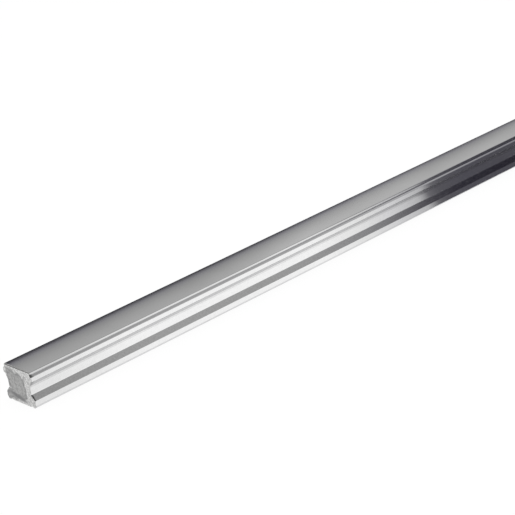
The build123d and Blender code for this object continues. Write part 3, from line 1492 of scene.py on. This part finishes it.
@dataclass(frozen=True)
class Studio:
    """A white floor under a white sky, one soft lamp, and the cards that the steel mirrors.

    Each card stands where the faces that it tones mirror it. The cards' planes make a room round the rail.
    """

    left: float = -1000.0  # mm
    right: float = 1300.0
    front: float = -1600.0
    back: float = 2300.0
    foot: float = 20.0
    over: float = 760.0  # where the right-hand cards meet
    head: float = 1200.0

    floor_half: float = 20000.0  # mm
    floor_drop: float = 0.02  # mm, so that the floor and the underside don't share a plane
    shadow_share: float = 0.075  # how much of the floor's white comes from the light on it
    lit_level: float = 0.9  # how much of that share the light gives back, away from the shadows
    sky_level: float = 0.75
    lamp_power: float = 9.0  # watts
    lamp_size: float = 1400.0  # mm
    lamp_place: Point = (-300.0, -200.0, 1500.0)  # mm

    def walls(self) -> list[Card]:
        """The upright cards.

        Returns:
            The cards.
        """
        turn, corner = -200.0, 700.0  # where the left side and the back change from one card to the next
        window = 600.0  # below the front card the near end mirrors the sky
        leaning = (0.0, 1.0, -0.32)  # the right-hand cards' tones come later along the rail higher up
        return [
            Card(
                "left_card",
                upright((self.left, turn), (self.left, self.back), self.foot, self.head),
                axis=(0.0, 0.017, 1.0),
                tones=(
                    (20.0, "2D2C33"), (495.0, "2D2C33"), (502.0, "403F47"), (510.0, "7B7A83"),
                    (517.0, "9B9AA1"), (525.0, "A2A1A7"), (537.0, "ABABAF"), (561.0, "B5B5B5"),
                    (602.0, "C1C1C1"), (637.0, "C8C8C8"), (674.0, "CCCCCC"), (800.0, "D7D7D7"),
                    (1300.0, "DFDFDF"),
                ),
                shades=(
                    (300.0, "E7E7E7"), (700.0, "E7E7E7"), (830.0, "EEEEEE"), (950.0, "FCFCFC"),
                    (1040.0, "FDFDFD"), (1160.0, "F7F7F7"), (1260.0, "F0F0F0"), (1350.0, "F0F0F0"),
                    (1440.0, "F5F5F5"),
                ),
            ),
            Card(
                "left_front_card",
                upright((self.left, self.front), (self.left, turn), self.foot, self.head),
                axis=UPWARDS,
                tones=((20.0, "D8D8D9"), (450.0, "D0D0D0"), (600.0, "ACACAC"), (1200.0, "A4A4A4")),
            ),
            Card(
                "front_card",
                upright((self.left, self.front), (self.right, self.front), window, self.head),
                axis=UPWARDS,
                tones=((600.0, "4A4A50"), (700.0, "1C1B20"), (1200.0, "1C1B20")),
            ),
            Card(
                "right_low_card",
                upright((self.right, 900.0), (self.right, self.back), self.foot, self.over),
                axis=leaning,
                tones=(
                    (900.0, "FFFFFF"), (1000.0, "F4F4F4"), (1090.0, "DCDCDC"), (1197.0, "B0B0B2"),
                    (1300.0, "504F56"), (1370.0, "302F37"), (1485.0, "2B2932"),
                ),
            ),
            Card(
                "right_high_card",
                upright((self.right, self.front), (self.right, self.back), self.over, self.head),
                axis=leaning,
                tones=(
                    (300.0, "A0A0A0"), (670.0, "A8A8A8"), (1090.0, "B4B4B4"), (1197.0, "9C9C9E"),
                    (1309.0, "79787D"), (1396.0, "505056"), (1485.0, "403F47"),
                ),
            ),
            Card(
                "back_card",
                upright((self.left, self.back), (corner, self.back), self.foot, self.head),
                axis=UPWARDS,
                tones=((20.0, "D8D8D9"), (1200.0, "D0D0D1")),
            ),
            Card(
                "back_dark_card",
                upright((corner, self.back), (self.right, self.back), self.foot, self.head),
                axis=UPWARDS,
                tones=((20.0, DARK), (1200.0, DARK)),
            ),
        ]

    def ceiling(self) -> list[Card]:
        """The cards overhead, side by side, each toned along the rail.

        Returns:
            The cards.
        """
        strips = (
            (
                "top_left_card",
                150.0,
                (
                    (380.0, "AAAAAA"), (700.0, "B2B2B2"), (1059.0, "B4B4B4"), (1161.0, "B0B0B1"),
                    (1267.0, "A0A0A3"), (1349.0, "8C8C91"), (1434.0, "88888D"),
                ),
            ),
            (
                "top_middle_card",
                690.0,
                (
                    (420.0, "969696"), (570.0, "A0A0A0"), (922.0, "AAAAAA"), (1120.0, "B7B7B9"),
                    (1224.0, "B5B5B7"), (1333.0, "B1B1B3"), (1418.0, "98979D"), (1505.0, "939297"),
                ),
            ),
            (
                "top_right_card",
                900.0,
                (
                    (300.0, "989898"), (520.0, "9A9A9A"), (735.0, "A9A9A9"), (1100.0, "A6A6A6"),
                    (1298.0, "949496"), (1388.0, "7A797D"), (1432.0, "626167"), (1478.0, "403F46"),
                    (1524.0, "312F38"), (1578.0, "272630"), (1700.0, "24222B"),
                ),
            ),
            (
                "top_far_right_card",
                self.right,
                (
                    (580.0, "A0A0A0"), (935.0, "A8A8A8"), (1300.0, "969697"), (1410.0, "6E6D72"),
                    (1520.0, "4A4950"), (1688.0, "3A3841"),
                ),
            ),
        )
        cards = []
        start = self.left
        for name, end, tones in strips:
            sides = ((start, self.front), (end, self.front), (end, self.back), (start, self.back))
            cards.append(Card(name, [(*side, self.head) for side in sides], ALONG, tones))
            start = end
        return cards

    def low_cards(self) -> list[Card]:
        """The cards just above the floor, on both sides of the rail.

        Returns:
            The cards.
        """
        low, higher = 0.3, 0.35  # mm above the floor's top
        under_edge, beside_edge = 16.08, 16.2  # where the dark and the near card start, under the chamfer
        return [
            Card(
                "dark_floor_card",
                (
                    (under_edge, -40.0, low),
                    (self.right, 1133.0, low),
                    (self.right, self.back, low),
                    (under_edge, 1400.0, low),
                ),
                axis=(-0.8, 1.0, 0.0),
                tones=(
                    (-42.0, "FFFFFF"), (17.0, "ECECEC"), (55.0, "DADADC"), (72.0, "CECED0"),
                    (94.0, "BCBCBE"), (108.0, "6A696E"), (121.0, "58575D"), (157.0, "504F57"),
                    (212.0, "4E4D54"), (407.0, "4C4B52"),
                ),
            ),
            Card(
                "near_floor_card",
                (
                    (beside_edge, -500.0, higher),
                    (200.0, -500.0, higher),
                    (200.0, -215.0, higher),
                    (beside_edge, -215.0, higher),
                ),
                axis=ALONG,
                tones=((-500.0, "ECECEC"), (-310.0, "F0F0F0"), (-215.0, "FFFFFF")),
            ),
            Card(
                "left_floor_card",
                ((-18.0, -332.0, low), (-900.0, -332.0, low), (-900.0, 1500.0, low), (-18.0, 1500.0, low)),
                axis=(-1.0, 0.0, 0.0),
                tones=((18.0, "D0D0D0"), (34.0, "5C5C62"), (300.0, "3C3C44"), (900.0, DARK)),
            ),
        ]

    def floor(self) -> bpy.types.Object:
        """The floor: mostly its own white, with a share that the light on it and the shadows set.

        Seen from below it is clear, so that the rail's underside can be looked at.

        Returns:
            The floor.
        """
        material, tree = new_material("matt_white_floor")
        lit = add_node(tree, "BsdfDiffuse", {"Color": (self.shadow_share,) * 3 + (1.0,)})
        glow = add_node(tree, "Emission", {"Strength": 1.0 - self.shadow_share * self.lit_level})
        white = add_node(tree, "AddShader", {0: lit.outputs[0], 1: glow.outputs[0]})
        below = add_node(tree, "NewGeometry").outputs["Backfacing"]
        clear = add_node(tree, "BsdfTransparent")
        sided = add_node(tree, "MixShader", {0: below, 1: white.outputs[0], 2: clear.outputs[0]})
        add_node(tree, "OutputMaterial", {"Surface": sided.outputs[0]})
        half, z = self.floor_half, -self.floor_drop
        corners = ((-half, -half, z), (half, -half, z), (half, half, z), (-half, half, z))
        floor = flat_face("floor", corners, material)
        return floor

    def sky(self) -> bpy.types.World:
        """The world: white to the camera and to reflections, and a plain level of light to all else.

        Returns:
            The world.
        """
        world = bpy.data.worlds.new("white_sky")
        world.use_nodes = True
        tree = world.node_tree
        tree.nodes.clear()
        path = add_node(tree, "LightPath")
        seen = path.outputs["Is Camera Ray"]
        for ray in ("Is Glossy Ray", "Is Transmission Ray"):
            seen = add_node(tree, "Math", {0: seen, 1: path.outputs[ray]}, operation="MAXIMUM").outputs[0]
        strength = add_node(
            tree,
            "MapRange",
            {"Value": seen, FROM_LOW: 0.0, FROM_HIGH: 1.0, TO_LOW: self.sky_level, TO_HIGH: 1.0},
        )
        white = add_node(tree, "Background", {"Color": linear("FFFFFF"), "Strength": strength.outputs[0]})
        add_node(tree, "OutputWorld", {"Surface": white.outputs[0]})
        bpy.context.scene.world = world
        return world

    def lamp(self) -> bpy.types.Object:
        """A wide soft lamp overhead, for the floor's shadow. The steel mirrors the cards in its place.

        Returns:
            The lamp.
        """
        light = bpy.data.lights.new("soft_lamp", "AREA")
        light.size = self.lamp_size * MM
        light.energy = self.lamp_power
        lamp = bpy.data.objects.new("soft_lamp", light)
        lamp.location = Vector(self.lamp_place) * MM
        lamp.rotation_euler = lamp.location.to_track_quat("Z", "Y").to_euler()
        lamp.visible_glossy = False
        bpy.context.scene.collection.objects.link(lamp)
        return lamp

    def build(self) -> None:
        """Sets the studio up."""
        self.floor()
        self.sky()
        self.lamp()
        for card in (*self.walls(), *self.ceiling(), *self.low_cards()):
            card.build()
            log.info("card %s", card.name)


def main() -> None:
    """Builds the camera, the rail, its strip and the studio."""
    logging.basicConfig(level=logging.INFO, format="%(name)s: %(message)s")
    bpy.context.scene.view_settings.view_transform = "Standard"
    ViewCamera().place()
    rail = GuideRail(*node_size("guide_rail"))
    strip = CoverStrip(length=node_size("cover_strip")[1], rail=rail)
    for part in (rail, strip):
        piece = part.build()
    Studio().build()


if __name__ == "__main__":
    main()
